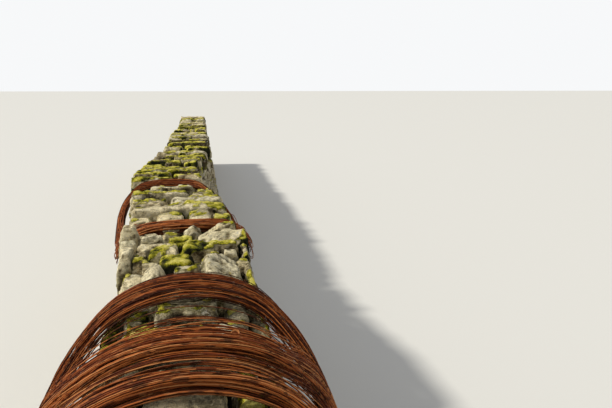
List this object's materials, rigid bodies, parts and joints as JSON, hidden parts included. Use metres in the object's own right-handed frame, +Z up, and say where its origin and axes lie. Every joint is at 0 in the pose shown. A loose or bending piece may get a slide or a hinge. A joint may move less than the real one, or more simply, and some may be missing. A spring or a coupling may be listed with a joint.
{
  "type": "dry stone wall",
  "caption": "Double-faced dry stone field wall with through stones, hearting and a rough cope, bellied in plan, with rusty wire coils laid over its top.",
  "frame": {"origin": "on the ground under the middle of the wall's length, on the line of the undisturbed wall", "axes": "+Z up, +Y along the wall, away from the end with the wire coils, +X to the right of that direction"},
  "size_m": [1.0761, 11.9984, 1.2164],
  "materials": {
    "footing_stone": "rough",
    "face_stone": "rough",
    "hearting_stone": "rough",
    "through_stone": "rough",
    "cope_stone": "weathered, mossy",
    "rusty_wire": "rusted"
  },
  "bodies": {
    "root": {"footing_1": "footing_stone", "footing_2": "footing_stone", "footing_3": "footing_stone", "footing_4": "footing_stone", "footing_5": "footing_stone", "footing_6": "footing_stone", "left_face_1": "face_stone", "left_face_2": "face_stone", "left_face_3": "face_stone", "left_face_4": "face_stone", "left_face_5": "face_stone", "left_face_6": "face_stone", "right_face_1": "face_stone", "right_face_2": "face_stone", "right_face_3": "face_stone", "right_face_4": "face_stone", "right_face_5": "face_stone", "right_face_6": "face_stone", "hearting_1": "hearting_stone", "hearting_2": "hearting_stone", "hearting_3": "hearting_stone", "hearting_4": "hearting_stone", "hearting_5": "hearting_stone", "hearting_6": "hearting_stone", "through_stones_1": "through_stone", "through_stones_2": "through_stone", "through_stones_3": "through_stone", "through_stones_4": "through_stone", "through_stones_5": "through_stone", "through_stones_6": "through_stone", "cope_1": "cope_stone", "cope_2": "cope_stone", "cope_3": "cope_stone", "cope_4": "cope_stone", "cope_5": "cope_stone", "cope_6": "cope_stone", "near_wall_head": "face_stone", "far_wall_head": "face_stone", "near_wire_coil": "rusty_wire", "middle_wire_coil": "rusty_wire", "far_wire_coil": "rusty_wire"}
  },
  "joints": []
}
